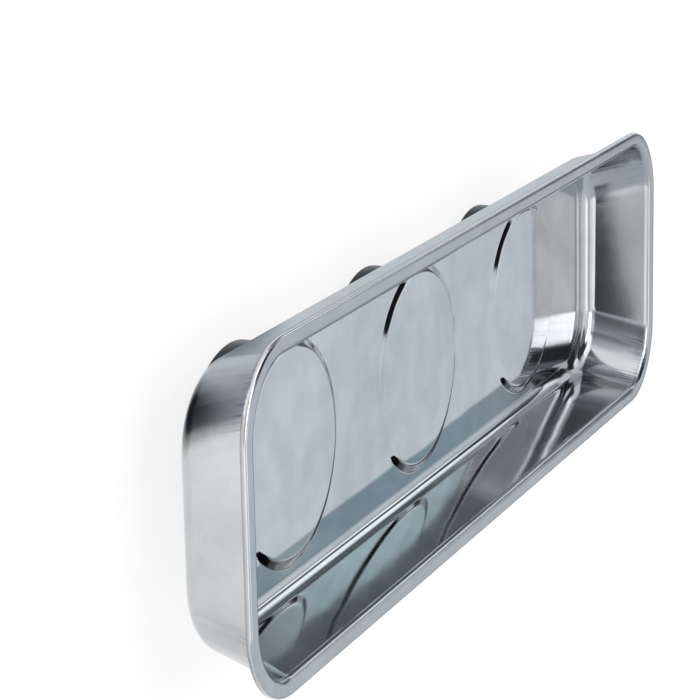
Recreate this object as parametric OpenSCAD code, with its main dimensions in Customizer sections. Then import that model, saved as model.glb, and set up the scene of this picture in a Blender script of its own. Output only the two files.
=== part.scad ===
// Long three-magnet parts tray: a drawn stainless pan on three rubber-booted magnet units.
// Millimetres. +X along the tray, +Z towards its open side, origin on the ground under its middle.

/* [Tray pan] */
// Overall length over the rim
tray_len = 360; // [340:1:420]
// Overall width over the rim
tray_w = 102; // [101:1:130]
// Height of the rim above the surface that the tray stands on
tray_h = 43; // [38:0.5:50]
// Thickness of the stainless sheet
sheet_t = 0.8; // [0.6:0.1:1]
// Width of the rim flange, from its outer edge to the bend into the wall
flange_w = 3.5; // [2.5:0.1:4]
// Height of the down-turned lip, from its cut edge to the top of the rim
lip_h = 2; // [1.6:0.1:4]
// Outside radius of the bend between flange and lip
lip_bend_r = 1.1; // [1.1:0.1:1.5]
// Radius of the bend between flange and wall, on its upper face
rim_bend_r = 2.2; // [1.6:0.1:2.6]
// Lean of the long walls from upright, in degrees
side_lean = 12.5; // [6:0.5:14]
// Lean of the end walls from upright, in degrees
end_lean = 10; // [6:0.5:16]
// Radius of the rim's corners, seen from above
rim_corner_r = 26; // [22:0.5:30]
// How much further in the corner centres lie at the floor than at the rim
corner_drift = 5.8; // [2:0.2:8]
// Outside radius of the bend between wall and floor
floor_bend_r = 5; // [3:0.25:5.5]

/* [Raised floor discs] */
// Distance from each end of the rim to the centre of the nearest magnet unit
end_margin = 79.5; // [70:0.5:90]
// Height of each raised disc above the floor round it
disc_rise = 1; // [0.6:0.1:1.4]
// Width of each disc's sloping edge, seen from above
disc_slope_w = 2.5; // [1.5:0.1:2.8]
// Room all round between a cup and the flat ceiling of its recess
recess_play = 1.6; // [1:0.1:2]

/* [Rubber boots] */
// Height of a boot, from its gripping face to the tray's floor
boot_h = 17.6; // [16.8:0.1:20]
// Wall of a boot round its cup
boot_wall = 1.8; // [1.4:0.1:2.4]
// Gap between a cup and the boot stretched over it
boot_fit = 0.2; // [0.1:0.05:0.3]
// Thickness of the collar that seats on the tray
collar_t = 2.3; // [1.6:0.1:3]
// How far the collar reaches out past the edge of the raised disc
collar_seat = 1.7; // [1:0.1:2]
// Rounding of the collar's lower edge
collar_round = 0.7; // [0.3:0.1:0.8]
// Width of the neck groove between the wall and the collar
neck_w = 1.3; // [0.8:0.1:2]
// Depth of the neck groove
neck_d = 1; // [0.5:0.1:1.2]
// Radius of the shoulder that leads from the wall into the neck groove
shoulder_r = 3.5; // [2:0.25:5]
// Rounding of the gripping face's outer edge
face_round = 0.8; // [0.3:0.1:1.2]
// Number of ring grooves in the gripping face
groove_count = 7; // [3:1:8]
// Width of a ring groove at the face
groove_w = 1.3; // [0.8:0.1:1.5]
// Depth of a ring groove
groove_d = 0.8; // [0.4:0.1:1]
// How much a groove narrows on each side towards its bottom
groove_taper = 0.15; // [0.05:0.05:0.3]
// Radius of the plain disc in the middle of the gripping face
plain_r = 9.2; // [6:0.2:12]
// Width of the plain rim round the grooves
plain_rim_w = 2.7; // [2:0.1:4]
// Diameter of the vent hole in the middle of the face
vent_d = 5; // [2:0.5:6]

/* [Magnet units] */
// Diameter of the steel cup round each magnet
cup_d = 60; // [56:0.5:61]
// Height of a cup
cup_h = 15.7; // [14:0.1:16]
// Steel thickness of a cup
cup_t = 1.5; // [1:0.1:2]
// Bevel round the closed end of a cup
cup_bevel = 0.8; // [0.4:0.1:1.2]
// Gap between a magnet and the wall of its cup
magnet_fit = 0.3; // [0.1:0.05:0.5]
// Thickness of the bond between a magnet and the bottom of its cup
bond_t = 0.1; // [0.05:0.05:0.3]
// How far a magnet's face lies inside the edge of its cup
magnet_inset = 0.4; // [0.2:0.1:1]
// Diameter of a ring magnet's bore
magnet_bore_d = 24; // [20:0.5:30]
// Bevel on a ring magnet's edges
magnet_bevel = 0.6; // [0.3:0.1:1]

/* [Fasteners] */
// Thread diameter of the studs
stud_d = 5; // [4:0.5:6]
// Length of a stud below the tray
stud_l = 10; // [9.5:0.5:12]
// Diameter of a stud's weld flange
stud_flange_d = 6.5; // [6.2:0.1:8]
// Thickness of a stud's weld flange
stud_flange_t = 0.8; // [0.5:0.1:1]
// Room round the weld flange in the cup's hole
flange_play = 0.5; // [0.2:0.1:1]
// Diameter of a plain washer
washer_d = 15; // [12:0.5:18]
// Thickness of a plain washer
washer_t = 1.2; // [0.8:0.1:1.6]
// Diameter of a split lock washer
lock_d = 9.2; // [8.6:0.1:11]
// Thickness of a split lock washer
lock_t = 1.2; // [1:0.1:1.6]
// Width of the split in a lock washer
lock_gap = 0.9; // [0.5:0.1:1.5]
// Slant of the split, in degrees
lock_slant = 30; // [10:1:40]
// Room between a washer and the stud
washer_play = 0.15; // [0.1:0.05:0.3]
// Size of a nut across its flats
nut_af = 8; // [8:0.5:10]
// Height of a nut
nut_h = 4; // [3:0.1:5]
// Room between a nut's bore and the stud
thread_play = 0.05; // [0.02:0.01:0.1]
// Bevel on a nut's corners and a stud's tip
thread_bevel = 0.6; // [0.3:0.1:0.8]

/* [Hidden] */
// The magnet units, from left to right, as their nodes' names end
UNITS = ["left", "centre", "right"];

// Segments of a quarter corner and of a bend in the pan's swept sheet
CORNER_STEPS = 8;
BEND_STEPS = 4;
LIP_STEPS = 3;
$fn = 96;

// Overrun of cuts, and overlap of the pan's floor plate with its swept sheet
overrun = 1;
floor_lap = 2;

// Distance between neighbouring magnet units, centre to centre
unit_pitch = tray_len / 2 - end_margin;

// Heights, from the ground up
floor_z = boot_h;
ceiling_z = floor_z + disc_rise;
cup_mouth_z = ceiling_z - cup_h;
cup_seat_z = ceiling_z - cup_t;
washer_z = cup_seat_z - washer_t;
lock_z = washer_z - lock_t;
nut_z = lock_z - nut_h;
boot_face_t = cup_mouth_z - boot_fit;

// Radii, from the cup outwards
cup_r = cup_d / 2;
disc_top_r = cup_r + recess_play;
disc_foot_r = disc_top_r + disc_slope_w;
boot_inner_r = cup_r + boot_fit;
boot_r = boot_inner_r + boot_wall;
collar_r = disc_foot_r + collar_seat;
magnet_r = cup_r - cup_t - magnet_fit;

// Points of an arc about a centre, in the plane of a section
function arc(cx, cz, r, a0, a1, steps) =
    [for (i = [0:steps]) let (a = a0 + (a1 - a0) * i / steps) [cx + r * cos(a), cz + r * sin(a)]];

// Distance from the rim's outer edge in to the centre of the floor bend, for a wall with this lean
function bend_inset(lean) = flange_w +
    ((tray_h - rim_bend_r - floor_z - floor_bend_r) * sin(lean) + rim_bend_r + floor_bend_r - sheet_t)
    / cos(lean);

// Section of the sheet as [distance in from the rim's edge, height], one closed loop
function sheet_section(lean) = let (
    foot = bend_inset(lean),
    foot_z = floor_z + floor_bend_r,
    rim_z = tray_h - rim_bend_r,
    lip_z = tray_h - lip_bend_r)
    concat(
        [[foot + floor_lap, floor_z + sheet_t]],
        arc(foot, foot_z, floor_bend_r - sheet_t, 270, 180 + lean, BEND_STEPS),
        arc(flange_w, rim_z, rim_bend_r, lean, 90, BEND_STEPS),
        arc(lip_bend_r, lip_z, lip_bend_r, 90, 180, LIP_STEPS),
        [[0, tray_h - lip_h], [sheet_t, tray_h - lip_h]],
        arc(lip_bend_r, lip_z, lip_bend_r - sheet_t, 180, 90, LIP_STEPS),
        arc(flange_w, rim_z, rim_bend_r - sheet_t, 90, lean, BEND_STEPS),
        arc(foot, foot_z, floor_bend_r, 180 + lean, 270, BEND_STEPS),
        [[foot + floor_lap, floor_z]]);

// Distance from the rim's outer edge in to the corner centre, at a height
function corner_centre(z) = let (
    top = tray_h - rim_bend_r,
    foot = floor_z + floor_bend_r,
    share = min(1, max(0, (top - z) / (top - foot))))
    rim_corner_r + corner_drift * share;

// One turn round the tray for one point of the end section and one of the side section
function outline(e, s) = let (c = corner_centre((e[1] + s[1]) / 2))
    [for (k = [0:3]) for (j = [0:CORNER_STEPS]) let (
        a = 90 * (k + j / CORNER_STEPS),
        sx = (k == 0 || k == 3) ? 1 : -1,
        sy = (k < 2) ? 1 : -1)
        [sx * (tray_len / 2 - c) + (c - e[0]) * cos(a),
         sy * (tray_w / 2 - c) + (c - s[0]) * sin(a),
         e[1] * pow(cos(a), 2) + s[1] * pow(sin(a), 2)]];

// The sheet of walls, bends, flange and lip, swept round the tray
module swept_sheet() {
    ends = sheet_section(end_lean);
    sides = sheet_section(side_lean);
    m = len(ends);
    n = 4 * (CORNER_STEPS + 1);
    points = [for (i = [0:m - 1]) each outline(ends[i], sides[i])];
    faces = [for (i = [0:m - 1]) for (j = [0:n - 1]) let (
        a = i * n + j,
        b = i * n + (j + 1) % n,
        c = ((i + 1) % m) * n + (j + 1) % n,
        d = ((i + 1) % m) * n + j)
        each [[a, b, c], [a, c, d]]];
    polyhedron(points = points, faces = faces, convexity = 10);
}

// A rectangle with round corners, centred
module round_plate(l, w, r) {
    square([l - 2 * r, w], center = true);
    square([l, w - 2 * r], center = true);
    for (sx = [-1, 1]) for (sy = [-1, 1])
        translate([sx * (l / 2 - r), sy * (w / 2 - r)])
            circle(r);
}

// Places its child at one magnet unit, counted from the left
module at_unit(i) {
    translate([(i - 1) * unit_pitch, 0, 0])
        children();
}

// Repeats its child at all the magnet units
module at_units() {
    for (i = [0:len(UNITS) - 1])
        at_unit(i)
            children();
}

// Raised disc of the floor, one sheet thick, with a flat margin that laps the floor plate
module raised_disc() {
    slope = atan(disc_rise / disc_slope_w);
    under = sheet_t * tan(slope / 2);
    rotate_extrude()
        polygon([[0, floor_z + disc_rise], [disc_top_r - under, floor_z + disc_rise],
                 [disc_foot_r - under, floor_z], [disc_foot_r + floor_lap / 2, floor_z],
                 [disc_foot_r + floor_lap / 2, floor_z + sheet_t], [disc_foot_r, floor_z + sheet_t],
                 [disc_top_r, floor_z + disc_rise + sheet_t], [0, floor_z + disc_rise + sheet_t]]);
}

module tray_pan() {
    edge_x = bend_inset(end_lean) + floor_lap / 2;
    edge_y = bend_inset(side_lean) + floor_lap / 2;
    corner_r = rim_corner_r + corner_drift - edge_y;
    color("silver") {
        swept_sheet();
        difference() {
            translate([0, 0, floor_z])
                linear_extrude(sheet_t)
                    round_plate(tray_len - 2 * edge_x, tray_w - 2 * edge_y, corner_r);
            at_units()
                translate([0, 0, floor_z - overrun])
                    cylinder(r = disc_foot_r + floor_lap / 4, h = sheet_t + 2 * overrun);
        }
        at_units()
            raised_disc();
    }
}

// Closed rubber cap with ring grooves on its face, a neck and a collar
module boot() {
    first = plain_r + groove_w / 2;
    last = boot_r - plain_rim_w - groove_w / 2;
    pitch = (last - first) / (groove_count - 1);
    collar_z = boot_h - collar_t;
    neck_z = collar_z - neck_w;
    shoulder_turn = acos(1 - neck_d / shoulder_r);
    shoulder_z = neck_z - shoulder_r * sin(shoulder_turn);
    grooves = [for (k = [0:groove_count - 1]) let (r = first + k * pitch, half = groove_w / 2)
        each [[r - half, 0], [r - half + groove_taper, groove_d],
              [r + half - groove_taper, groove_d], [r + half, 0]]];
    color("#1c1c1e")
        rotate_extrude()
            polygon(concat(
                [[vent_d / 2, 0]],
                grooves,
                arc(boot_r - face_round, face_round, face_round, -90, 0, BEND_STEPS),
                arc(boot_r - shoulder_r, shoulder_z, shoulder_r, 0, shoulder_turn, BEND_STEPS),
                [[boot_r - neck_d, collar_z]],
                arc(collar_r - collar_round, collar_z + collar_round, collar_round, -90, 0, BEND_STEPS),
                [[collar_r, boot_h], [boot_inner_r, boot_h],
                 [boot_inner_r, boot_face_t], [vent_d / 2, boot_face_t]]));
}

// Steel cup, open towards the gripping face, its closed end in the recess of the floor
module cup() {
    hole_r = stud_flange_d / 2 + flange_play;
    color("#b9bcc0")
        rotate_extrude()
            polygon([[hole_r, cup_seat_z], [cup_r - cup_t, cup_seat_z], [cup_r - cup_t, cup_mouth_z],
                     [cup_r, cup_mouth_z], [cup_r, ceiling_z - cup_bevel],
                     [cup_r - cup_bevel, ceiling_z], [hole_r, ceiling_z]]);
}

// Ring magnet bonded into its cup
module magnet() {
    low = cup_mouth_z + magnet_inset;
    high = cup_seat_z - bond_t;
    bore_r = magnet_bore_d / 2;
    b = magnet_bevel;
    color("#3b3d40")
        rotate_extrude()
            polygon([[bore_r + b, low], [magnet_r - b, low], [magnet_r, low + b], [magnet_r, high - b],
                     [magnet_r - b, high], [bore_r + b, high], [bore_r, high - b], [bore_r, low + b]]);
}

// Threaded stud, welded by its flange to the underside of the raised disc
module stud() {
    r = stud_d / 2;
    tip_z = ceiling_z - stud_l;
    color("#c9ccd0")
        rotate_extrude()
            polygon([[0, tip_z], [r - thread_bevel, tip_z], [r, tip_z + thread_bevel],
                     [r, ceiling_z - stud_flange_t], [stud_flange_d / 2, ceiling_z - stud_flange_t],
                     [stud_flange_d / 2, ceiling_z], [0, ceiling_z]]);
}

// Flat ring about the stud
module ring(outer_d, low_z, t) {
    translate([0, 0, low_z])
        difference() {
            cylinder(d = outer_d, h = t);
            translate([0, 0, -overrun])
                cylinder(d = stud_d + 2 * washer_play, h = t + 2 * overrun);
        }
}

module washer() {
    color("#d4d6da")
        ring(washer_d, washer_z, washer_t);
}

// Lock washer with its slanting split
module lock_washer() {
    color("#9da0a5")
        difference() {
            ring(lock_d, lock_z, lock_t);
            translate([lock_d / 4, 0, lock_z + lock_t / 2])
                rotate([lock_slant, 0, 0])
                    cube([lock_d / 2 + overrun, lock_gap, lock_t + 2 * overrun], center = true);
        }
}

// Hexagon nut with bevelled corners
module nut() {
    corner_r = nut_af / 2 / cos(30);
    bevel_h = thread_bevel / 2;
    color("#d4d6da")
        translate([0, 0, nut_z])
            difference() {
                intersection() {
                    cylinder(r = corner_r, h = nut_h, $fn = 6);
                    rotate_extrude()
                        polygon([[0, 0], [corner_r - thread_bevel, 0], [corner_r, bevel_h],
                                 [corner_r, nut_h - bevel_h], [corner_r - thread_bevel, nut_h], [0, nut_h]]);
                }
                translate([0, 0, -overrun])
                    cylinder(d = stud_d + 2 * thread_play, h = nut_h + 2 * overrun);
            }
}

tray_pan();
for (i = [0:len(UNITS) - 1]) {
    at_unit(i) boot();
    at_unit(i) cup();
    at_unit(i) magnet();
    at_unit(i) stud();
    at_unit(i) washer();
    at_unit(i) lock_washer();
    at_unit(i) nut();
}
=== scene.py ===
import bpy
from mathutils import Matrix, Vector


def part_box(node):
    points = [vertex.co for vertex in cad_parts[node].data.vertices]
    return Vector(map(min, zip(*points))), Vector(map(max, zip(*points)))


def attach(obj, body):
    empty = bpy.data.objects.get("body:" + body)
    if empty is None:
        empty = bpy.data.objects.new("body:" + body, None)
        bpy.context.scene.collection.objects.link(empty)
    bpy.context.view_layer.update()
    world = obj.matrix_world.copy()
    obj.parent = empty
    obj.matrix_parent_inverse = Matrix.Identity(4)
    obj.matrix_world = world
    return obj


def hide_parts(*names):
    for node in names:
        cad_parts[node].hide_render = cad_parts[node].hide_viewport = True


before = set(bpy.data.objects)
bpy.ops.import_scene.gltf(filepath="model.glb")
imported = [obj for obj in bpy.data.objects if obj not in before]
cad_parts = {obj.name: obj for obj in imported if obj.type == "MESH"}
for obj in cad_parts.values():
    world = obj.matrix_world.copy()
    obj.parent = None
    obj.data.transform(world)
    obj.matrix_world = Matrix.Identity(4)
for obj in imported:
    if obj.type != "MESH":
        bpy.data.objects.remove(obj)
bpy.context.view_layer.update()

import math

import bmesh
import bpy
from mathutils import Euler, Vector

MM = 0.001


# The tray pan is one stainless sheet, drawn in a press: floor with three raised discs, leaning
# walls, a flat flange and a down-turned lip. It is polished bright, and the drawing left faint
# streaks up the walls and small pinch lines under the flange at the corners. Painted shade darkens
# the sheet's colour inside the walls, along the lip's cut edge and in the pinch lines' valleys.
pan_low, pan_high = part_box("tray_pan")
TRAY_LENGTH = pan_high.x - pan_low.x
TRAY_WIDTH = pan_high.y - pan_low.y
RIM_TOP = pan_high.z
FLOOR_UNDER = pan_low.z
SHEET = 0.8 * MM
FLANGE = 3.5 * MM
LIP_HEIGHT = 2 * MM
LIP_BEND = 1.1 * MM
RIM_BEND = 2.2 * MM
FLOOR_BEND = 6 * MM
SIDE_LEAN = math.radians(12.5)
END_LEAN = math.radians(10)
RIM_CORNER = 26 * MM
CORNER_DRIFT = 6.6 * MM
CUT_EDGE = 0.15 * MM
FLOOR_LAP = 0.8 * MM
GUARD = 0.35 * MM
SEAM_WELD = 0.002 * MM

# Steps round each bend, rows up a wall between its bends, and places along a side and an end
FLOOR_BEND_STEPS = 16
RIM_BEND_STEPS = 12
LIP_BEND_STEPS = 8
CUT_EDGE_STEPS = 3
WALL_ROWS = 5
FLANGE_SHARES = (0.35, 0.65)
CORNER_STEPS = 112
SIDE_STATIONS = 48
END_STATIONS = 12
STATION_GUARD_SHARE = 0.006

# How far the drawing and the punch worked the sheet's skin, and how much painted shade darkens the rim,
# as shares
RIM_WORKED_SHARE = 0.5
CUT_WORKED_SHARE = 0.9
RIM_PAINTED_SHADE_SHARE = 0.3

# The draw folds stand in full in this share of their length, and once the wall has turned this
# share into its corner. Painted shade in the fold valleys starts and is full at these levels of the
# noise that makes the folds.
FOLD_PITCH = 1.1 * MM
FOLD_LENGTH = 6.5 * MM
FOLD_DEPTH = 0.3 * MM
FOLD_FULL_SHARE = 0.4
FOLD_TURNED_SHARE = 0.08
CREASE_START = 0.44
CREASE_FULL = 0.34

DISCS = 3
DISC_TOP = 31.6 * MM
DISC_FOOT = 34.1 * MM
DISC_RISE = 1 * MM
DISC_FOOT_BEND = 2.2 * MM
DISC_TOP_BEND = 4 * MM
DISC_MARGIN = 0.15 * MM
DISC_FLAT_SHARES = (0, 0.2, 0.5, 0.8, 0.97)
DISC_TOP_STEPS = 10
DISC_FOOT_STEPS = 8
DISC_STEPS = 144


def new_object(name, data):
    """An object for this mesh, lens or lamp, put into the scene."""
    thing = bpy.data.objects.new(name, data)
    bpy.context.collection.objects.link(thing)
    return thing


def new_tree(name, inputs):
    """An empty geometry tree with named inputs, and the sockets that give their values."""
    tree = bpy.data.node_groups.new(name, "GeometryNodeTree")
    tree.interface.new_socket("Shape", in_out="OUTPUT", socket_type="NodeSocketGeometry")
    for label, kind in inputs.items():
        tree.interface.new_socket(label, in_out="INPUT", socket_type="NodeSocket" + kind)
    return tree, tree.nodes.new("NodeGroupInput").outputs


def feed(tree, node, inputs):
    """Gives each of these inputs its value, or links it to the socket that feeds it."""
    for key, value in dict(inputs).items():
        if isinstance(value, bpy.types.NodeSocket):
            tree.links.new(value, node.inputs[key])
        else:
            node.inputs[key].default_value = value


def add(tree, kind, inputs=(), **settings):
    """Adds one node with these inputs and settings."""
    node = tree.nodes.new(kind)
    for key, value in settings.items():
        setattr(node, key, value)
    feed(tree, node, inputs)
    return node


def number(tree, operation, *values):
    """One step of arithmetic on numbers."""
    return add(tree, "ShaderNodeMath", enumerate(values), operation=operation).outputs[0]


def vector(tree, operation, *values):
    """One step of arithmetic on vectors."""
    node = add(tree, "ShaderNodeVectorMath", enumerate(values), operation=operation)
    return node.outputs["Value" if operation in ("DOT_PRODUCT", "LENGTH") else "Vector"]


def joined(tree, **parts):
    """A vector of the parts X, Y and Z that are given."""
    return add(tree, "ShaderNodeCombineXYZ", parts).outputs[0]


def parts_of(tree, value):
    """The parts X, Y and Z of a vector."""
    return add(tree, "ShaderNodeSeparateXYZ", {0: value}).outputs


def levels(tree, value, low, high, to_low=0, to_high=1):
    """Spreads what lies between low and high over another range, and stops at its ends."""
    bounds = {"From Min": low, "From Max": high, "To Min": to_low, "To Max": to_high}
    return add(tree, "ShaderNodeMapRange", {"Value": value, **bounds}).outputs[0]


def end_tree(tree, shape, finish):
    """Realizes the shape, gives it its finish and ends the tree."""
    real = add(tree, "GeometryNodeRealizeInstances", {"Geometry": shape})
    smooth = add(tree, "GeometryNodeSetShadeSmooth", {"Geometry": real.outputs[0]})
    dressed = add(tree, "GeometryNodeSetMaterial", {"Geometry": smooth.outputs[0], "Material": finish})
    add(tree, "NodeGroupOutput", {0: dressed.outputs[0]})


def arc(centre, radius, start, end, steps):
    """Points of an arc in a section, with its angles in radians."""
    return [(centre[0] + radius * math.cos(start + (end - start) * k / steps),
             centre[1] + radius * math.sin(start + (end - start) * k / steps)) for k in range(steps + 1)]


def between(a, b, shares):
    """Points at these shares of the way from a to b."""
    return [(a[0] + (b[0] - a[0]) * s, a[1] + (b[1] - a[1]) * s) for s in shares]


def guarded(a, b, middle=0):
    """Points just inside both ends of a straight stretch, which keep it flat beside its bends."""
    near = GUARD / math.dist(a, b)
    inner = [near + (1 - 2 * near) * k / (middle + 1) for k in range(1, middle + 1)]
    return between(a, b, [near, *inner, 1 - near])


def ramp(low, high, count, power=1):
    """This many numbers from low to high, evenly or by a power."""
    return [low + (high - low) * (k / (count - 1)) ** power for k in range(count)]


def travel_along(points):
    """How far along the run of points each one lies."""
    travel = [0.0]
    for a, b in zip(points, points[1:]):
        travel.append(travel[-1] + math.dist(a, b))
    return travel


def section_object(name, points, **attributes):
    """A row of points (distance, height) that a tree reads, with a number or a vector at each."""
    mesh = bpy.data.meshes.new(name)
    mesh.from_pydata([(x, 0, z) for x, z in points], [], [])
    for label, values in {"travel": travel_along(points), **attributes}.items():
        kind = "FLOAT_VECTOR" if isinstance(values[0], tuple) else "FLOAT"
        layer = mesh.attributes.new(label, kind, "POINT")
        for item, value in zip(layer.data, values):
            setattr(item, "vector" if kind == "FLOAT_VECTOR" else "value", value)
    return new_object(name, mesh)


def build(tree, name, values):
    """Runs a tree with these values and returns its result as a plain mesh object."""
    maker = new_object(name + "_maker", bpy.data.meshes.new(name + "_maker"))
    modifier = maker.modifiers.new("Shape", "NODES")
    modifier.node_group = tree
    for item in tree.interface.items_tree:
        if item.in_out == "INPUT":
            modifier[item.identifier] = values[item.name]
    graph = bpy.context.evaluated_depsgraph_get()
    mesh = bpy.data.meshes.new_from_object(maker.evaluated_get(graph), preserve_all_data_layers=True,
                                           depsgraph=graph)
    mesh.name = name
    mesh.materials.pop(index=0)
    outward = bmesh.new()
    outward.from_mesh(mesh)
    bmesh.ops.recalc_face_normals(outward, faces=outward.faces)
    outward.to_mesh(mesh)
    outward.free()
    bpy.data.objects.remove(maker)
    return new_object(name, mesh)


def sampled(tree, row, label, index, kind="FLOAT_VECTOR"):
    """The position, or a named number or vector, of one point of a row."""
    shape = add(tree, "GeometryNodeObjectInfo", {"Object": row}).outputs["Geometry"]
    if label == "position":
        value = add(tree, "GeometryNodeInputPosition").outputs[0]
    else:
        value = add(tree, "GeometryNodeInputNamedAttribute", {"Name": label}, data_type=kind).outputs[0]
    node = add(tree, "GeometryNodeSampleIndex", {"Geometry": shape, "Value": value, "Index": index},
               data_type=kind)
    return node.outputs[0]


def row_length(tree, row):
    """How many points a row has."""
    shape = add(tree, "GeometryNodeObjectInfo", {"Object": row}).outputs["Geometry"]
    return add(tree, "GeometryNodeAttributeDomainSize", {"Geometry": shape}).outputs["Point Count"]


def grid_with_places(tree, columns, rows):
    """A grid, and the column and the row in it of each of its points."""
    grid = add(tree, "GeometryNodeMeshGrid", {"Vertices X": columns, "Vertices Y": rows}).outputs["Mesh"]
    index = add(tree, "GeometryNodeInputIndex").outputs[0]
    column = number(tree, "FLOOR", number(tree, "DIVIDE", number(tree, "ADD", index, 0.5), rows))
    return grid, column, number(tree, "SUBTRACT", index, number(tree, "MULTIPLY", column, rows))


def closed_seams(tree, shape):
    """The shape with the doubled points along its seams and poles made one."""
    return add(tree, "GeometryNodeMergeByDistance", {"Geometry": shape, "Distance": SEAM_WELD}).outputs[0]


def pan_section(lean, foot_worked, head_worked, rise, rubbed):
    """The sheet's section for a wall with this lean, from the floor over the lip and back outside.
    With each point go two shares: how much the drawing worked the sheet there, inside from the
    wall's foot to its head as given (early in the wall where the rise is under 1) and outside in
    full, and how much painted shade darkens its colour: inside alone, as much as rubbed gives on the
    wall, less on the rim and flange, and in full on the lip's cut edge."""
    wall_height = RIM_TOP - RIM_BEND - FLOOR_UNDER - FLOOR_BEND
    foot = FLANGE + (wall_height * math.sin(lean) + RIM_BEND + FLOOR_BEND - SHEET) / math.cos(lean)
    lip_foot = RIM_TOP - LIP_HEIGHT + CUT_EDGE
    down, up, left = 1.5 * math.pi, 0.5 * math.pi, math.pi

    def skin(depth):
        """Its stretches from the floor to the lip, this far below the tray's inner surface."""
        floor_centre = (foot, FLOOR_UNDER + FLOOR_BEND)
        floor_arc = arc(floor_centre, FLOOR_BEND - SHEET + depth, down, left + lean, FLOOR_BEND_STEPS)
        rim_arc = arc((FLANGE, RIM_TOP - RIM_BEND), RIM_BEND - depth, lean, up, RIM_BEND_STEPS)
        lip_arc = arc((LIP_BEND, RIM_TOP - LIP_BEND), LIP_BEND - depth, up, left, LIP_BEND_STEPS)
        lap_end = (foot + FLOOR_LAP, FLOOR_UNDER + SHEET - depth)
        lap = [lap_end, *between(lap_end, floor_arc[0], [0.5])]
        wall = guarded(floor_arc[-1], rim_arc[0], WALL_ROWS)
        flange = between(rim_arc[-1], lip_arc[0], FLANGE_SHARES)
        return lap, floor_arc, wall, rim_arc, [*flange, *lip_arc, (lip_arc[-1][0], lip_foot)]

    inside, outside = [[point for stretch in skin(depth) for point in stretch] for depth in (0, SHEET)]
    edge = arc((CUT_EDGE, lip_foot), CUT_EDGE, left, down, CUT_EDGE_STEPS)[1:]
    edge += arc((SHEET - CUT_EDGE, lip_foot), CUT_EDGE, down, 2 * math.pi, CUT_EDGE_STEPS)[:-1]
    lap, bend, wall, rim, brim = [len(stretch) for stretch in skin(0)]
    worked = [0.0] * lap + ramp(0, foot_worked, bend) + ramp(foot_worked, head_worked, wall, rise)
    worked += [RIM_WORKED_SHARE] * (rim + brim) + [CUT_WORKED_SHARE] * len(edge)
    worked += [RIM_WORKED_SHARE] * (rim + brim) + [1.0] * wall + ramp(1, 0, bend) + [0.0] * lap
    # Painted shade: darker colour inside the wall and on the rim, and in full on the lip's cut edge,
    # where the shade under the lip falls
    dulled = [0.0] * lap + ramp(0, rubbed, bend) + [rubbed] * wall + ramp(rubbed, RIM_PAINTED_SHADE_SHARE, rim)
    dulled += [RIM_PAINTED_SHADE_SHARE] * (brim - 1) + [1.0] * (1 + len(edge)) + [0.0] * len(outside)
    return inside + edge + outside[::-1], worked, dulled


def pan_stations():
    """Where the section stands as it goes round: the share of the way to the corner centres, and
    the direction that it faces."""
    places, facings = [], []
    corners = [(1, 1), (-1, 1), (-1, -1), (1, -1)]
    for k, corner in enumerate(corners):
        after = corners[(k + 1) % len(corners)]
        for j in range(CORNER_STEPS + 1):
            turn = math.radians(90 * (k + j / CORNER_STEPS))
            places.append(corner)
            facings.append((math.cos(turn), math.sin(turn), 0.0))
        count = SIDE_STATIONS if k % 2 == 0 else END_STATIONS
        inner = [j / count for j in range(1, count)]
        for share in [STATION_GUARD_SHARE, *inner, 1 - STATION_GUARD_SHARE]:
            places.append(between(corner, after, [share])[0])
            facings.append(facings[-1])
    places.append(places[0])
    facings.append(facings[0])
    return places, facings


def disc_section(depth):
    """The raised disc's skin this far below the tray's inner surface, from the middle outwards."""
    slope = math.atan2(DISC_RISE, DISC_FOOT - DISC_TOP)
    floor = FLOOR_UNDER + SHEET
    foot = (DISC_FOOT + DISC_FOOT_BEND * math.tan(slope / 2), floor + DISC_FOOT_BEND)
    top = (DISC_TOP - DISC_TOP_BEND * math.tan(slope / 2), floor + DISC_RISE - DISC_TOP_BEND)
    up, down = 0.5 * math.pi, 1.5 * math.pi
    top_arc = arc(top, DISC_TOP_BEND - depth, up, up - slope, DISC_TOP_STEPS)
    foot_arc = arc(foot, DISC_FOOT_BEND + depth, down - slope, down, DISC_FOOT_STEPS)
    flat = [(top_arc[0][0] * share, top_arc[0][1]) for share in DISC_FLAT_SHARES]
    margin = [(foot_arc[-1][0] + reach, foot_arc[-1][1]) for reach in (DISC_MARGIN, GUARD)]
    return flat + top_arc + guarded(top_arc[-1], foot_arc[0]) + foot_arc + margin


# A tree that turns a row of points round the upright axis, for the raised discs and the boots
turn_tree, given = new_tree("turn_section", {"Section": "Object", "Steps": "Int"})
rows = row_length(turn_tree, given["Section"])
columns = number(turn_tree, "ADD", given["Steps"], 1)
sheet, column, point = grid_with_places(turn_tree, columns, rows)
place = sampled(turn_tree, given["Section"], "position", point)
angle = number(turn_tree, "MULTIPLY", column, number(turn_tree, "DIVIDE", math.tau, given["Steps"]))
turned = add(turn_tree, "ShaderNodeVectorRotate", {"Vector": place, "Angle": angle},
             rotation_type="Z_AXIS").outputs[0]
spun = add(turn_tree, "GeometryNodeSetPosition", {"Geometry": sheet, "Position": turned})
add(turn_tree, "NodeGroupOutput", {0: closed_seams(turn_tree, spun.outputs[0])})

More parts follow.
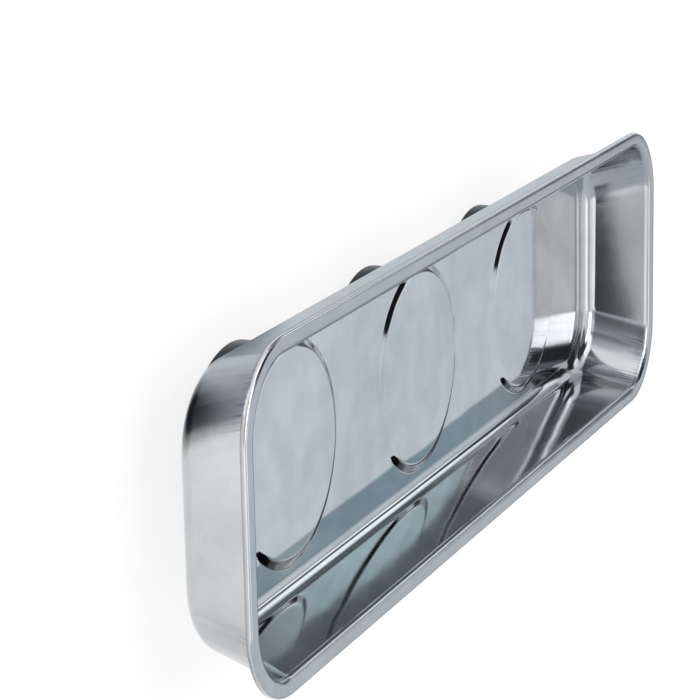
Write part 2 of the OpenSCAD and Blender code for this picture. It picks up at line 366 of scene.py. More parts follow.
# A tree that carries the pan's section round its plan, blending the side's section into the end's
# in each corner, and lays the floor with its raised discs inside
pan_tree, given = new_tree("draw_pan", {
    "Stations": "Object", "Side section": "Object", "End section": "Object",
    "Disc top": "Object", "Disc underside": "Object", "Disc steps": "Int",
    "Length": "Float", "Width": "Float", "Corner radius": "Float", "Corner drift": "Float",
    "Drift top": "Float", "Drift foot": "Float", "Floor underside": "Float", "Sheet": "Float",
    "Disc pitch": "Float", "Rim top": "Float", "Fold pitch": "Float", "Fold length": "Float",
    "Fold depth": "Float", "Finish": "Material"})
rows = row_length(pan_tree, given["Side section"])
columns = row_length(pan_tree, given["Stations"])
sheet, column, point = grid_with_places(pan_tree, columns, rows)

corner = sampled(pan_tree, given["Stations"], "corner", column)
facing = sampled(pan_tree, given["Stations"], "facing", column)
turned_share = vector(pan_tree, "MULTIPLY", facing, facing)
side = parts_of(pan_tree, sampled(pan_tree, given["Side section"], "position", point))
end = parts_of(pan_tree, sampled(pan_tree, given["End section"], "position", point))
inset = joined(pan_tree, X=end["X"], Y=side["X"])
height = vector(pan_tree, "DOT_PRODUCT", joined(pan_tree, X=end["Z"], Y=side["Z"]), turned_share)
drift = levels(pan_tree, side["Z"], given["Drift top"], given["Drift foot"], 0, given["Corner drift"])
centre_in = number(pan_tree, "ADD", given["Corner radius"], drift)
centre = joined(pan_tree, X=centre_in, Y=centre_in)
plan = vector(pan_tree, "MULTIPLY", joined(pan_tree, X=given["Length"], Y=given["Width"]), (0.5, 0.5, 0))
plan = vector(pan_tree, "SUBTRACT", plan, centre)
flat_place = vector(pan_tree, "ADD", vector(pan_tree, "MULTIPLY", corner, plan),
                    vector(pan_tree, "MULTIPLY", vector(pan_tree, "SUBTRACT", centre, inset), facing))
travel_round = sampled(pan_tree, given["Stations"], "round", column, "FLOAT")

# The draw folds: fine upright ripples that die out down the wall, in the corners alone
across_folds = number(pan_tree, "DIVIDE", travel_round, given["Fold pitch"])
down_folds = number(pan_tree, "DIVIDE", height, given["Fold length"])
fold_place = joined(pan_tree, X=across_folds, Y=down_folds)
ripple = add(pan_tree, "ShaderNodeTexNoise", {"Vector": fold_place, "Scale": 1, "Detail": 1})
ripple = ripple.outputs["Fac"]
valley = levels(pan_tree, ripple, CREASE_START, CREASE_FULL)
turned_parts = parts_of(pan_tree, turned_share)
in_corner = number(pan_tree, "MULTIPLY", turned_parts["X"], turned_parts["Y"])
in_corner = levels(pan_tree, in_corner, 0, FOLD_TURNED_SHARE)
fold_foot = number(pan_tree, "SUBTRACT", given["Drift top"], given["Fold length"])
fold_head = number(pan_tree, "MULTIPLY_ADD", given["Fold length"], -FOLD_FULL_SHARE, given["Drift top"])
dying_down = levels(pan_tree, height, fold_foot, fold_head)
dying_up = levels(pan_tree, height, given["Drift top"], given["Rim top"], 1, 0)
in_folds = number(pan_tree, "MULTIPLY", number(pan_tree, "MULTIPLY", dying_up, dying_down), in_corner)
fold = number(pan_tree, "MULTIPLY", number(pan_tree, "SUBTRACT", ripple, 0.5), given["Fold depth"])
fold = number(pan_tree, "MULTIPLY", fold, in_folds)
# Painted shade in the fold valleys, which darkens their colour
fold_valley_shade = number(pan_tree, "MULTIPLY", valley, in_folds)
fold_move = vector(pan_tree, "MULTIPLY", joined(pan_tree, X=fold, Y=fold), facing)
flat_place = vector(pan_tree, "ADD", flat_place, fold_move)
swept = add(pan_tree, "GeometryNodeSetPosition", {
    "Geometry": sheet,
    "Position": vector(pan_tree, "ADD", flat_place, joined(pan_tree, Z=height))}).outputs[0]

travel_up = sampled(pan_tree, given["Side section"], "travel", point, "FLOAT")
on_sheet = joined(pan_tree, X=travel_round, Y=travel_up)
swept = add(pan_tree, "GeometryNodeStoreNamedAttribute", {
    "Geometry": swept, "Name": "sheet_place", "Value": on_sheet}, data_type="FLOAT_VECTOR",
    domain="CORNER").outputs[0]
# The worked share, and the share of painted shade that darkens the sheet's colour, each blended from the
# side's section into the end's. The fold valleys add painted shade.
for label in ("worked", "dulled"):
    at_end = sampled(pan_tree, given["End section"], label, point, "FLOAT")
    at_side = sampled(pan_tree, given["Side section"], label, point, "FLOAT")
    share = vector(pan_tree, "DOT_PRODUCT", joined(pan_tree, X=at_end, Y=at_side), turned_share)
    if label == "dulled":
        share = number(pan_tree, "MAXIMUM", share, fold_valley_shade)
    swept = add(pan_tree, "GeometryNodeStoreNamedAttribute", {
        "Geometry": swept, "Name": label, "Value": share}, data_type="FLOAT", domain="POINT").outputs[0]
swept = closed_seams(pan_tree, swept)

disc_skins = add(pan_tree, "GeometryNodeJoinGeometry")
for label in ("Disc top", "Disc underside"):
    skin = add(pan_tree, "GeometryNodeGroup", node_tree=turn_tree)
    feed(pan_tree, skin, {"Section": given[label], "Steps": given["Disc steps"]})
    pan_tree.links.new(skin.outputs[0], disc_skins.inputs[0])
first_disc = number(pan_tree, "MULTIPLY", given["Disc pitch"], (1 - DISCS) / 2)
disc_line = add(pan_tree, "GeometryNodeMeshLine", {
    "Count": DISCS, "Start Location": joined(pan_tree, X=first_disc),
    "Offset": joined(pan_tree, X=given["Disc pitch"])}, mode="OFFSET")
discs = add(pan_tree, "GeometryNodeInstanceOnPoints", {
    "Points": disc_line.outputs[0], "Instance": disc_skins.outputs[0]})
discs = add(pan_tree, "GeometryNodeRealizeInstances", {"Geometry": discs.outputs[0]}).outputs[0]

# The floor round the discs: one flat plate above and one below, filled between the open edges
open_sheet = add(pan_tree, "GeometryNodeJoinGeometry")
for part in (swept, discs):
    pan_tree.links.new(part, open_sheet.inputs[0])
open_sheet = open_sheet.outputs[0]
faces_beside = add(pan_tree, "GeometryNodeInputMeshEdgeNeighbors").outputs[0]
open_edge = add(pan_tree, "FunctionNodeCompare", {2: faces_beside, 3: 1}, data_type="INT",
                operation="EQUAL").outputs[0]
edge_height = parts_of(pan_tree, add(pan_tree, "GeometryNodeInputPosition").outputs[0])["Z"]
half_sheet = number(pan_tree, "MULTIPLY_ADD", given["Sheet"], 0.5, given["Floor underside"])
floor_top = number(pan_tree, "ADD", given["Floor underside"], given["Sheet"])
whole = add(pan_tree, "GeometryNodeJoinGeometry")
for side_name, level in (("GREATER_THAN", floor_top), ("LESS_THAN", given["Floor underside"])):
    beyond = add(pan_tree, "FunctionNodeCompare", {0: edge_height, 1: half_sheet}, data_type="FLOAT",
                 operation=side_name).outputs[0]
    chosen = add(pan_tree, "FunctionNodeBooleanMath", {0: open_edge, 1: beyond}, operation="AND")
    outline = add(pan_tree, "GeometryNodeMeshToCurve", {
        "Mesh": open_sheet, "Selection": chosen.outputs[0]}).outputs[0]
    plate = add(pan_tree, "GeometryNodeFillCurve", {"Curve": outline}, mode="TRIANGLES").outputs[0]
    raised = joined(pan_tree, Z=level)
    plate = add(pan_tree, "GeometryNodeTransform", {"Geometry": plate, "Translation": raised}).outputs[0]
    if side_name == "GREATER_THAN":
        plate = add(pan_tree, "GeometryNodeFlipFaces", {"Mesh": plate}).outputs[0]
    pan_tree.links.new(plate, whole.inputs[0])
pan_tree.links.new(open_sheet, whole.inputs[0])
end_tree(pan_tree, closed_seams(pan_tree, whole.outputs[0]), given["Finish"])


def new_finish(name):
    """A new material, its tree and its shader."""
    material = bpy.data.materials.new(name)
    material.use_nodes = True
    return material, material.node_tree, material.node_tree.nodes["Principled BSDF"]


def noise(tree, scale, detail=3.0, stretch=(1, 1, 1), of=None):
    """Noise on the piece's own coordinates, or on another vector, drawn out along an axis."""
    if of is None:
        of = add(tree, "ShaderNodeTexCoord").outputs["Object"]
    place = add(tree, "ShaderNodeMapping", {"Vector": of, "Scale": stretch}).outputs[0]
    inputs = {"Vector": place, "Scale": scale, "Detail": detail}
    return add(tree, "ShaderNodeTexNoise", inputs).outputs["Fac"]


def blend(tree, share, low, high):
    """A number between two, each a value or a socket."""
    return add(tree, "ShaderNodeMix", {"Factor": share, 2: low, 3: high}).outputs[0]


def tint(tree, share, *ends):
    """A colour between two, each red, green and blue or a socket."""
    dark, light = [end if isinstance(end, bpy.types.NodeSocket) else (*end, 1) for end in ends]
    return add(tree, "ShaderNodeMix", {"Factor": share, 6: dark, 7: light}, data_type="RGBA").outputs[2]


def relief(tree, height, strength, depth, over=None):
    """The surface's normal with this relief on it, or on the relief that is given."""
    bump = add(tree, "ShaderNodeBump", {"Height": height, "Strength": strength, "Distance": depth})
    if over is not None:
        tree.links.new(over, bump.inputs["Normal"])
    return bump.outputs[0]


# Noise seldom leaves this range. A narrower one gives patches with more contrast.
NOISE_RANGE = 0.3, 0.7
HAZE_RANGE = 0.33, 0.67
CLOUD_RANGE = 0.35, 0.65
SMEAR_RANGE = 0.35, 0.75

# The sheet's finish: the tones of its floor, of drawn sheet and of the painted shade that darkens
# it inside the walls, each from dark to light, and the roughness of the polished floor and of the
# drawn walls. Streaks are per metre.
FLOOR_TONES = (0.545, 0.564, 0.575), (0.690, 0.700, 0.709)
DRAWN_TONES = (0.51, 0.518, 0.525), (0.695, 0.702, 0.71)
PAINTED_SHADE_TONES = (0.28, 0.295, 0.305), (0.38, 0.40, 0.41)
FLOOR_ROUGHNESS = 0.035, 0.07
WALL_ROUGHNESS = 0.20, 0.31
STREAK_STRETCH = (600, 26, 1)
SMEAR_STRETCH = (1, 3, 1)
STREAK_DEPTH = 0.07 * MM
WAVE_DEPTH = 0.25 * MM
FLOOR_WAVE_SHARE = 0.4

stainless, tree, shader = new_finish("polished_stainless")
sheet_place = add(tree, "ShaderNodeAttribute", attribute_name="sheet_place").outputs["Vector"]
worked = add(tree, "ShaderNodeAttribute", attribute_name="worked").outputs["Fac"]
dulled = add(tree, "ShaderNodeAttribute", attribute_name="dulled").outputs["Fac"]
streaks = levels(tree, noise(tree, scale=1, stretch=STREAK_STRETCH, of=sheet_place), *NOISE_RANGE)
haze = levels(tree, noise(tree, scale=22, detail=4), *HAZE_RANGE)
clouds = levels(tree, noise(tree, scale=90, detail=5), *CLOUD_RANGE)
blotch = levels(tree, noise(tree, scale=55, detail=4), *CLOUD_RANGE)
bright = tint(tree, blend(tree, 0.5, haze, clouds), *FLOOR_TONES)
brushed = blend(tree, 0.4, streaks, blotch)
metal = tint(tree, worked, bright, tint(tree, brushed, *DRAWN_TONES))
# Painted shade: darker tones where that share is high, inside the walls, at the cut edge and in the fold
# valleys
metal = tint(tree, dulled, metal, tint(tree, brushed, *PAINTED_SHADE_TONES))
smear = noise(tree, scale=60, detail=5, stretch=SMEAR_STRETCH)
polish = blend(tree, worked, levels(tree, smear, *SMEAR_RANGE, *FLOOR_ROUGHNESS),
               levels(tree, streaks, 0, 1, *WALL_ROUGHNESS))
swell = noise(tree, scale=34, detail=1)
swell = number(tree, "MULTIPLY", swell, levels(tree, worked, 0, 1, FLOOR_WAVE_SHARE, 1))
scoring = number(tree, "MULTIPLY", number(tree, "SUBTRACT", streaks, 0.5), worked)
waves = relief(tree, swell, strength=1, depth=WAVE_DEPTH)
scored = relief(tree, scoring, strength=0.5, depth=STREAK_DEPTH, over=waves)
feed(tree, shader, {"Metallic": 1, "Base Color": metal, "Roughness": polish, "Normal": scored})

# rubbed is how much painted shade darkens the colour inside each wall.
side_points, side_worked, side_painted_shade = pan_section(
    SIDE_LEAN, foot_worked=0.03, head_worked=0.16, rise=1, rubbed=1)
end_points, end_worked, end_painted_shade = pan_section(
    END_LEAN, foot_worked=0.06, head_worked=0.65, rise=0.65, rubbed=0.6)
places, facings = pan_stations()
on_rim = [(x * (TRAY_LENGTH / 2 - RIM_CORNER) + RIM_CORNER * f[0],
           y * (TRAY_WIDTH / 2 - RIM_CORNER) + RIM_CORNER * f[1]) for (x, y), f in zip(places, facings)]
templates = {
    "Stations": section_object("stations", places, corner=[(x, y, 0.0) for x, y in places],
                               facing=facings, round=travel_along(on_rim)),
    "Side section": section_object("side_section", side_points, worked=side_worked, dulled=side_painted_shade),
    "End section": section_object("end_section", end_points, worked=end_worked, dulled=end_painted_shade),
    "Disc top": section_object("disc_top", disc_section(0)),
    "Disc underside": section_object("disc_underside", disc_section(SHEET)[::-1])}
boot_low, boot_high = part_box("boot_right")
DISC_PITCH = (boot_low.x + boot_high.x) / 2
pan = build(pan_tree, "pan_sheet", {
    **templates, "Disc steps": DISC_STEPS, "Length": TRAY_LENGTH, "Width": TRAY_WIDTH,
    "Corner radius": RIM_CORNER, "Corner drift": CORNER_DRIFT, "Drift top": RIM_TOP - RIM_BEND,
    "Drift foot": FLOOR_UNDER, "Floor underside": FLOOR_UNDER, "Sheet": SHEET,
    "Disc pitch": DISC_PITCH, "Rim top": RIM_TOP, "Fold pitch": FOLD_PITCH, "Fold length": FOLD_LENGTH,
    "Fold depth": FOLD_DEPTH, "Finish": stainless})
for row in templates.values():
    bpy.data.objects.remove(row)
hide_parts("tray_pan")
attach(pan, "root")


# Three moulded rubber boots stand under the floor, one below each raised disc. Each holds a cup
# with its magnet, grips with a face of ring grooves and meets the floor with a rounded collar.
BOOT_HEIGHT = boot_high.z
BOOT_RADIUS = 32 * MM
BOOT_BORE = 30.2 * MM
BOOT_FACE = 2.7 * MM
COLLAR_RADIUS = (boot_high.x - boot_low.x) / 2
COLLAR_HEIGHT = 2.3 * MM
COLLAR_ROUND = 0.7 * MM
NECK_WIDTH = 1.3 * MM
NECK_DEPTH = 1 * MM
SHOULDER_ROUND = 3.5 * MM
SHOULDER_STEPS = 8
FACE_ROUND = 0.8 * MM
GROOVES = 7
GROOVE_WIDTH = 1.3 * MM
GROOVE_DEPTH = 0.8 * MM
GROOVE_TAPER = 0.15 * MM
PLAIN_CENTRE = 9.2 * MM
PLAIN_RIM = 2.7 * MM
VENT_RADIUS = 2.5 * MM
MOULD_EASE = 0.15 * MM
BOOT_STEPS = 160


def eased(corners, steps=4):
    """A closed run through corners (distance, height, radius of its rounding)."""
    points = []
    for k, (x, z, radius) in enumerate(corners):
        here = Vector((x, z))
        back = (Vector(corners[k - 1][:2]) - here).normalized()
        ahead = (Vector(corners[(k + 1) % len(corners)][:2]) - here).normalized()
        half = back.angle(ahead) / 2
        centre = here + (back + ahead).normalized() * radius / math.sin(half)
        start = here + back * radius / math.tan(half) - centre
        turn = math.pi - 2 * half
        if start.x * ahead.y - start.y * ahead.x < 0:
            turn = -turn
        first = math.atan2(start.y, start.x)
        points += arc(centre, radius, first, first + turn, steps)
    return points


def boot_section():
    """From the vent over the grooved face, up the side and the collar, and down the bore."""
    first = PLAIN_CENTRE + GROOVE_WIDTH / 2
    last = BOOT_RADIUS - PLAIN_RIM - GROOVE_WIDTH / 2
    neck = BOOT_HEIGHT - COLLAR_HEIGHT - NECK_WIDTH
    waist = BOOT_RADIUS - NECK_DEPTH
    shoulder_turn = math.acos(1 - NECK_DEPTH / SHOULDER_ROUND)
    shoulder = (BOOT_RADIUS - SHOULDER_ROUND, neck - SHOULDER_ROUND * math.sin(shoulder_turn))
    corners = [(VENT_RADIUS, BOOT_FACE, MOULD_EASE), (VENT_RADIUS, 0, MOULD_EASE)]
    for k in range(GROOVES):
        middle = first + (last - first) * k / (GROOVES - 1)
        lip, root = GROOVE_WIDTH / 2, GROOVE_WIDTH / 2 - GROOVE_TAPER
        corners += [(middle - lip, 0, MOULD_EASE), (middle - root, GROOVE_DEPTH, MOULD_EASE),
                    (middle + root, GROOVE_DEPTH, MOULD_EASE), (middle + lip, 0, MOULD_EASE)]
    corners += [(BOOT_RADIUS, 0, FACE_ROUND), (BOOT_RADIUS, shoulder[1] - GUARD, GUARD / 4)]
    shoulder_arc = arc(shoulder, SHOULDER_ROUND, 0, shoulder_turn, SHOULDER_STEPS)
    corners += [(x, z, GUARD / 4) for x, z in shoulder_arc[1:-1]]
    corners += [(waist, neck, MOULD_EASE), (waist, BOOT_HEIGHT - COLLAR_HEIGHT, 2 * MOULD_EASE),
                (COLLAR_RADIUS, BOOT_HEIGHT - COLLAR_HEIGHT, COLLAR_ROUND),
                (COLLAR_RADIUS, BOOT_HEIGHT, MOULD_EASE), (BOOT_BORE, BOOT_HEIGHT, MOULD_EASE),
                (BOOT_BORE, BOOT_FACE, MOULD_EASE)]
    points = eased(corners)
    return points + points[:1]


boot_tree, given = new_tree("mould_boot", {
    "Section": "Object", "Steps": "Int", "Along the tray": "Float", "Finish": "Material"})
boot_skin = add(boot_tree, "GeometryNodeGroup", node_tree=turn_tree)
feed(boot_tree, boot_skin, {"Section": given["Section"], "Steps": given["Steps"]})
under_disc = joined(boot_tree, X=given["Along the tray"])
placed = add(boot_tree, "GeometryNodeTransform", {
    "Geometry": closed_seams(boot_tree, boot_skin.outputs[0]), "Translation": under_disc}).outputs[0]
end_tree(boot_tree, placed, given["Finish"])

# The rubber is near black and half glossy. Its gripping face is rubbed lighter and duller.
RUBBER_TONES = (0.010, 0.011, 0.012), (0.036, 0.039, 0.042)
RUBBER_ROUGHNESS = 0.22, 0.34
RUBBED_ROUGHNESS = 0.6
RUBBED_FROM = 0.25 * MM
RUBBED_FULLY = 0.05 * MM
GRAIN_DEPTH = 0.03 * MM
MOTTLE_DEPTH = 0.08 * MM

rubber, tree, shader = new_finish("moulded_rubber")
height = parts_of(tree, add(tree, "ShaderNodeTexCoord").outputs["Object"])["Z"]
rubbed = levels(tree, height, RUBBED_FROM, RUBBED_FULLY)
mottle = noise(tree, scale=260, detail=4)
moulded_roughness = levels(tree, mottle, *NOISE_RANGE, *RUBBER_ROUGHNESS)
grained = relief(tree, noise(tree, scale=1500), strength=0.25, depth=GRAIN_DEPTH)
feed(tree, shader, {
    "Base Color": tint(tree, rubbed, *RUBBER_TONES),
    "Roughness": blend(tree, rubbed, moulded_roughness, RUBBED_ROUGHNESS),
    "Specular IOR Level": 0.15,
    "Normal": relief(tree, mottle, strength=0.3, depth=MOTTLE_DEPTH, over=grained)})

boot_row = section_object("boot_section", boot_section())
for place in ("left", "centre", "right"):
    low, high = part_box("boot_" + place)
    boot = build(boot_tree, "rubber_boot_" + place, {
        "Section": boot_row, "Steps": BOOT_STEPS, "Along the tray": (low.x + high.x) / 2,
        "Finish": rubber})
    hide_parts("boot_" + place)
    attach(boot, "root")
bpy.data.objects.remove(boot_row)


# The three cups are drawn from mild steel and zinc plated. Each sits upside down in its boot, with
# its closed end in the recess under a raised disc, and leads the magnet's pull to the face.
PLATING_DEPTH = 0.02 * MM
PLATING_VARIES = 0.06


def finish_nodes(stem, finish):
    """Gives a finish to a CAD piece of each of the three units."""
    for place in ("left", "centre", "right"):
        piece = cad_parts[stem + "_" + place]
        piece.data.materials.clear()
        piece.data.materials.append(finish)


def plated_finish(name, dark, light, rough, cloud_scale):
    """Plated steel: slightly cloudy, with fine tumbling marks."""
    material, tree, shader = new_finish(name)
    cloud = noise(tree, cloud_scale, detail=4)
    marks = noise(tree, scale=2600, detail=2)
    feed(tree, shader, {
        "Metallic": 1, "Base Color": tint(tree, cloud, dark, light),
        "Roughness": levels(tree, cloud, *NOISE_RANGE, rough - PLATING_VARIES, rough + PLATING_VARIES),
        "Normal": relief(tree, marks, strength=0.3, depth=PLATING_DEPTH)})
    return material


zinc = plated_finish("zinc_plate", dark=(0.60, 0.62, 0.66), light=(0.72, 0.73, 0.75), rough=0.3,
                     cloud_scale=180)
finish_nodes("cup", zinc)


# The three ring magnets are sintered ferrite, pressed, fired and ground, and are bonded into the
# cups. The dark ceramic is finely speckled and has small pores.
FERRITE_TONES = (0.035, 0.036, 0.04), (0.10, 0.10, 0.11)
FERRITE_ROUGHNESS = 0.5, 0.75
PORE_DEPTH = 0.05 * MM

ferrite, tree, shader = new_finish("sintered_ferrite")
pores = add(tree, "ShaderNodeTexVoronoi", {
    "Vector": add(tree, "ShaderNodeTexCoord").outputs["Object"], "Scale": 900}).outputs["Distance"]
speck = noise(tree, scale=700, detail=4)
feed(tree, shader, {
    "Base Color": tint(tree, speck, *FERRITE_TONES),
    "Roughness": levels(tree, speck, *NOISE_RANGE, *FERRITE_ROUGHNESS),
    "Normal": relief(tree, pores, strength=0.4, depth=PORE_DEPTH)})
finish_nodes("magnet", ferrite)


# Each unit hangs on a threaded weld stud of plated steel. The stud is welded by its flange to the
# underside of the disc, and the hole in the cup's closed end fits round that flange.
finish_nodes("stud", zinc)


# A plain washer, stamped from steel and zinc plated, goes on each stud inside the cup. It covers
# the cup's hole and spreads the nut's load.
finish_nodes("washer", zinc)


# A split lock washer of spring steel, coiled, cut and hardened, goes on next and keeps the nut from
# working loose. Its finish is darker and duller than the zinc round it.
lock_steel = plated_finish("lock_washer_steel", dark=(0.34, 0.35, 0.37), light=(0.46, 0.47, 0.48),
                           rough=0.38, cloud_scale=500)
finish_nodes("lock_washer", lock_steel)


# A hexagon nut, cold formed from steel and zinc plated, is screwed onto each stud. It draws the cup
# and its boot up against the tray.
finish_nodes("nut", zinc)


# The camera stands off the tray's near end and above its rim, with a long lens. It is rolled on its
# side, as the photograph was framed.
CAMERA_PLACE = (-0.7897, 0.2317, 0.3374)
CAMERA_TURN = (-11.992, -66.838, -3.080)
CAMERA_LENS = 140.27
CAMERA_SENSOR = 36
camera = new_object("camera", bpy.data.cameras.new("camera"))
camera.data.sensor_width = CAMERA_SENSOR
camera.data.lens = CAMERA_LENS
camera.location = CAMERA_PLACE
camera.rotation_euler = Euler([math.radians(turn) for turn in CAMERA_TURN])
bpy.context.scene.camera = camera


# The studio: a pale floor without an edge, which is clear from below, one large soft lamp overhead,
# and a tent round the tray, with cloths and cards on the floor inside it, that only gloss sees. The
# polished sheet mirrors their white and dark parts. Several of the grey and dark cloths, marked
# below, are painted shade: they darken the floor round the tray where the sheet mirrors it.
FLOOR_SIZE = 40
FLOOR_COLOUR = (0.24, 0.24, 0.24, 1)
FLOOR_GLOW = 0.82


def seen(tree):
    """1 for what the camera sees, straight, in gloss or through glass, and 0 for light on a piece."""
    rays = add(tree, "ShaderNodeLightPath").outputs
    either = number(tree, "MAXIMUM", rays["Is Camera Ray"], rays["Is Glossy Ray"])
    return number(tree, "MAXIMUM", either, rays["Is Transmission Ray"])


floor_mesh = bpy.data.meshes.new("studio_floor")
corners = [(x * FLOOR_SIZE / 2, y * FLOOR_SIZE / 2, 0) for x, y in ((-1, -1), (1, -1), (1, 1), (-1, 1))]
floor_mesh.from_pydata(corners, [], [(0, 1, 2, 3)])
floor = new_object("studio_floor", floor_mesh)
paper, tree, shader = new_finish("floor_paper")
feed(tree, shader, {
    "Base Color": FLOOR_COLOUR, "Roughness": 1, "Specular IOR Level": 0, "Emission Color": (1, 1, 1, 1),
    "Emission Strength": number(tree, "MULTIPLY", seen(tree), FLOOR_GLOW)})
from_below = add(tree, "ShaderNodeNewGeometry").outputs["Backfacing"]
clear = add(tree, "ShaderNodeBsdfTransparent").outputs[0]
one_sided = add(tree, "ShaderNodeMixShader", {"Fac": from_below, 1: shader.outputs[0], 2: clear})
feed(tree, tree.nodes["Material Output"], {"Surface": one_sided.outputs[0]})
floor_mesh.materials.append(paper)

TENT_RADIUS = 15
TENT_TONE = (0.71, 0.77, 0.83)

# Each panel of the tent: its azimuths and its elevations in degrees, with azimuth from +X towards
# +Y, the softness of its edges in degrees, and its colour
PANELS = [
    ("ceiling", (-180, 180), (66, 95), 4, (1.0, 1.02, 1.03)),
    ("back_high", (-160, -95), (66, 80), 4, (1.7, 1.7, 1.7)),
    ("overhead_gap", (36, 100), (58, 80), 4, (0.22, 0.23, 0.24)),
    ("far_low", (-40, -9), (8, 19), 4, (0.59, 0.64, 0.69)),
    ("far_gap", (-75, -1), (-20, 10), 7, (0.38, 0.41, 0.43)),
    ("edge_gap", (-24, -2), (-10, 10), 3, (0.10, 0.12, 0.14)),
    ("front_band", (-14, 4), (31, 38), 1.5, (0.95, 0.96, 0.98)),
    ("low_gap", (-9.5, 16), (14, 24), 1.5, (0.11, 0.13, 0.15)),
    ("side_shade", (31, 66), (9.5, 39), 3, (0.32, 0.35, 0.37)),
    ("doorway_foot", (20, 40), (32, 39), 1.5, (0.25, 0.27, 0.28)),
    ("near_sky", (5, 12), (25, 33), 1.2, (0.45, 0.63, 0.74)),
    ("near_light", (9.5, 14.5), (24, 31), 1, (1.5, 1.5, 1.5)),
    ("thin_gap", (15.5, 19), (16, 29), 0.8, (0.03, 0.03, 0.035)),
    ("near_low", (22, 29.5), (10.5, 15), 1, (1.02, 1.28, 1.37)),
    ("near_strip", (20.5, 28), (14, 23), 1, (1.8, 1.85, 1.88)),
    ("side_gap", (26, 66), (-10, 9.5), 1.5, (0.08, 0.10, 0.12)),
    ("doorway_far", (32, 96), (38, 60), 2, (0.06, 0.06, 0.065)),
    ("doorway", (2, 34), (38, 63), 1.5, (0.010, 0.011, 0.013)),
    ("doorway_edge", (-5, 4), (46, 58), 1.5, (0.03, 0.03, 0.035)),
    ("doorway_side", (90, 104), (38, 48), 3, (0.08, 0.08, 0.09)),
    ("window", (102, 184), (49, 58), 2, (3.6, 3.6, 3.6)),
    ("window_low", (112, 184), (36, 52), 4, (3.0, 3.0, 3.0)),
    ("back_band", (-176, -148), (28, 46), 5, (1.3, 1.3, 1.3)),
    ("left_side", (66, 112), (0, 30), 8, (1.7, 1.7, 1.7)),
    ("side_sky", (82, 134), (17, 38), 2.5, (2.2, 2.2, 2.2)),
    ("camera_shade", (130, 150), (4, 24), 9, (0.30, 0.30, 0.31)),
    ("camera_high", (142, 168), (16, 36), 4, (1.05, 1.07, 1.10)),
    ("camera_side", (150, 183), (-12, 13), 4, (0.19, 0.19, 0.20)),
    ("behind", (-172, -150), (-12, 6), 4, (1.1, 1.1, 1.11)),
    ("behind_high", (-172, -150), (6, 27), 3, (1.7, 1.7, 1.7)),
    ("corner_light", (112, 146), (-8, 5), 2, (1.9, 1.9, 1.9)),
]


def only_gloss_sees(thing):
    """Hides it from all but glossy rays."""
    for sight in ("camera", "diffuse", "transmission", "volume_scatter", "shadow"):
        setattr(thing, "visible_" + sight, False)


def glowing_cloth(name):
    """An empty material for a cloth that glows, and its tree."""
    material = bpy.data.materials.new(name)
    material.use_nodes = True
    material.node_tree.nodes.clear()
    return material, material.node_tree


def within(tree, value, low, high, soft):
    """1 between two bounds and 0 outside, with soft edges."""
    rising = levels(tree, value, low - soft, low + soft)
    falling = levels(tree, value, high - soft, high + soft, 1, 0)
    return number(tree, "MULTIPLY", rising, falling)


bpy.ops.mesh.primitive_uv_sphere_add(segments=64, ring_count=32, radius=TENT_RADIUS)
tent = bpy.context.object
tent.name = "studio_tent"
only_gloss_sees(tent)
cloth, tree = glowing_cloth("tent_cloth")
cloth.cycles.emission_sampling = "NONE"
place = parts_of(tree, add(tree, "ShaderNodeTexCoord").outputs["Object"])
azimuth = number(tree, "MULTIPLY", number(tree, "ARCTAN2", place["Y"], place["X"]), 180 / math.pi)
rise = number(tree, "DIVIDE", place["Z"], TENT_RADIUS)
elevation = number(tree, "MULTIPLY", number(tree, "ARCSINE", rise), 180 / math.pi)
tone = add(tree, "ShaderNodeRGB").outputs[0]
tone.default_value = (*TENT_TONE, 1)
for name, (west, east), (low, high), soft, colour in PANELS:
    middle = (west + east) / 2
    turn = number(tree, "WRAP", number(tree, "SUBTRACT", azimuth, middle), 180, -180)
    across = within(tree, turn, west - middle, east - middle, soft)
    share = number(tree, "MULTIPLY", across, within(tree, elevation, low, high, soft))
    tone = tint(tree, share, tone, colour)
    tone.node.label = name
glow = add(tree, "ShaderNodeEmission", {"Color": tone})
add(tree, "ShaderNodeOutputMaterial", {"Surface": glow.outputs[0]})
tent.data.materials.append(cloth)

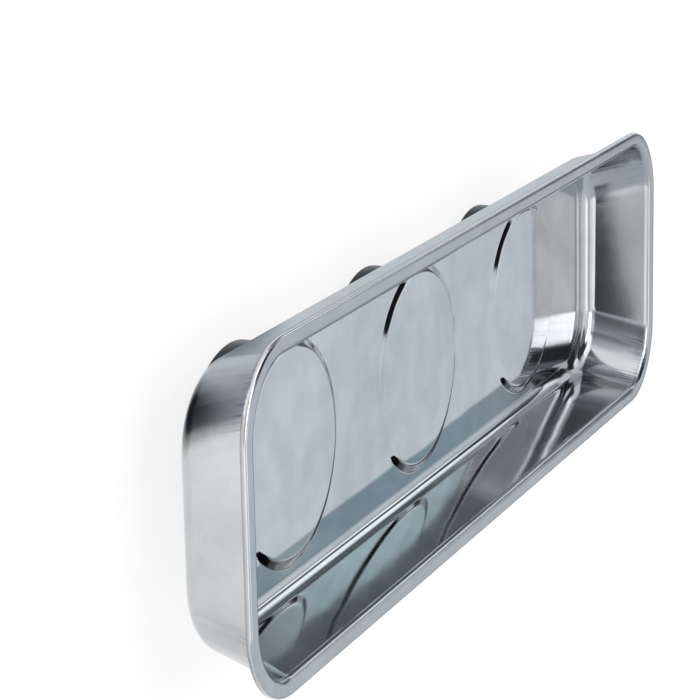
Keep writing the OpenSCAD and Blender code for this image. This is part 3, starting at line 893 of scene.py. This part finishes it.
# Each cloth or card on the floor: its middle, its half length and half width, its colour, and the
# share of the way out from which it fades
CLOTH_SIDES = 48
CLOTHS = [
    # Painted shade: the floor's shade along the long side, seen in reflection
    ("grey_cloth", (0.02, 0.068, 0.0005), (0.30, 0.045), (0.66, 0.73, 0.77), 0.8),
    # Painted shade: the floor's shade at the foot of the near end wall, seen in reflection
    ("foot_cloth", (-0.170, -0.030, 0.0010), (0.036, 0.080), (0.89, 0.92, 0.94), 0.2),
    ("end_cloth", (-0.200, -0.080, 0.0015), (0.060, 0.050), (0.74, 0.77, 0.79), 0.1),
    ("shade_cloth", (-0.185, 0.078, 0.0010), (0.062, 0.054), (0.40, 0.44, 0.48), 0.3),
    ("white_card", (-0.250, 0.098, 0.0015), (0.045, 0.042), (1.7, 1.7, 1.7), 0.6),
    ("far_card", (-0.19, 0.310, 0.0015), (0.18, 0.17), (1.35, 1.35, 1.35), 0.8),
    # Painted shade at the near corner, and partly a stand-in for a dark object beside it
    ("black_cloth", (-0.170, 0.038, 0.0020), (0.031, 0.025), (0.01, 0.014, 0.018), 0.4),
    # Painted shade at the long wall's foot near the corner, and partly a stand-in for a dark object
    # beside it
    ("dark_strip", (-0.10, 0.043, 0.0020), (0.036, 0.010), (0.10, 0.13, 0.15), 0.3),
]
for name, middle, reach, colour, plain in CLOTHS:
    angles = [math.tau * k / CLOTH_SIDES for k in range(CLOTH_SIDES)]
    rim = [(middle[0] + reach[0] * math.cos(angle), middle[1] + reach[1] * math.sin(angle), middle[2])
           for angle in angles]
    mesh = bpy.data.meshes.new(name)
    mesh.from_pydata(rim, [], [tuple(range(CLOTH_SIDES))])
    piece = new_object(name, mesh)
    only_gloss_sees(piece)
    material, tree = glowing_cloth(name)
    away = vector(tree, "SUBTRACT", add(tree, "ShaderNodeTexCoord").outputs["Object"], middle)
    away = vector(tree, "LENGTH", vector(tree, "MULTIPLY", away, (1 / reach[0], 1 / reach[1], 0)))
    cover = levels(tree, away, plain, 1, 1, 0)
    shade = add(tree, "ShaderNodeEmission", {"Color": (*colour, 1)}).outputs[0]
    clear = add(tree, "ShaderNodeBsdfTransparent").outputs[0]
    mixed = add(tree, "ShaderNodeMixShader", {"Fac": cover, 1: clear, 2: shade}).outputs[0]
    add(tree, "ShaderNodeOutputMaterial", {"Surface": mixed})
    mesh.materials.append(material)

LAMP_POWER = 9
LAMP_SIZE = 1.2
LAMP_PLACE = (-0.5, 0.6, 1.4)
lamp = new_object("overhead_lamp", bpy.data.lights.new("overhead_lamp", "AREA"))
lamp.data.shape = "DISK"
lamp.data.size = LAMP_SIZE
lamp.data.energy = LAMP_POWER
lamp.location = LAMP_PLACE
lamp.rotation_euler = (-lamp.location).to_track_quat("-Z", "Y").to_euler()
lamp.visible_glossy = False

AMBIENT = 0.75
world = bpy.data.worlds.new("studio_air")
bpy.context.scene.world = world
world.use_nodes = True
world.cycles.sampling_method = "NONE"
tree = world.node_tree
feed(tree, tree.nodes["Background"], {
    "Color": (1, 1, 1, 1), "Strength": levels(tree, seen(tree), 0, 1, AMBIENT, 1)})
bpy.context.scene.view_settings.view_transform = "Standard"
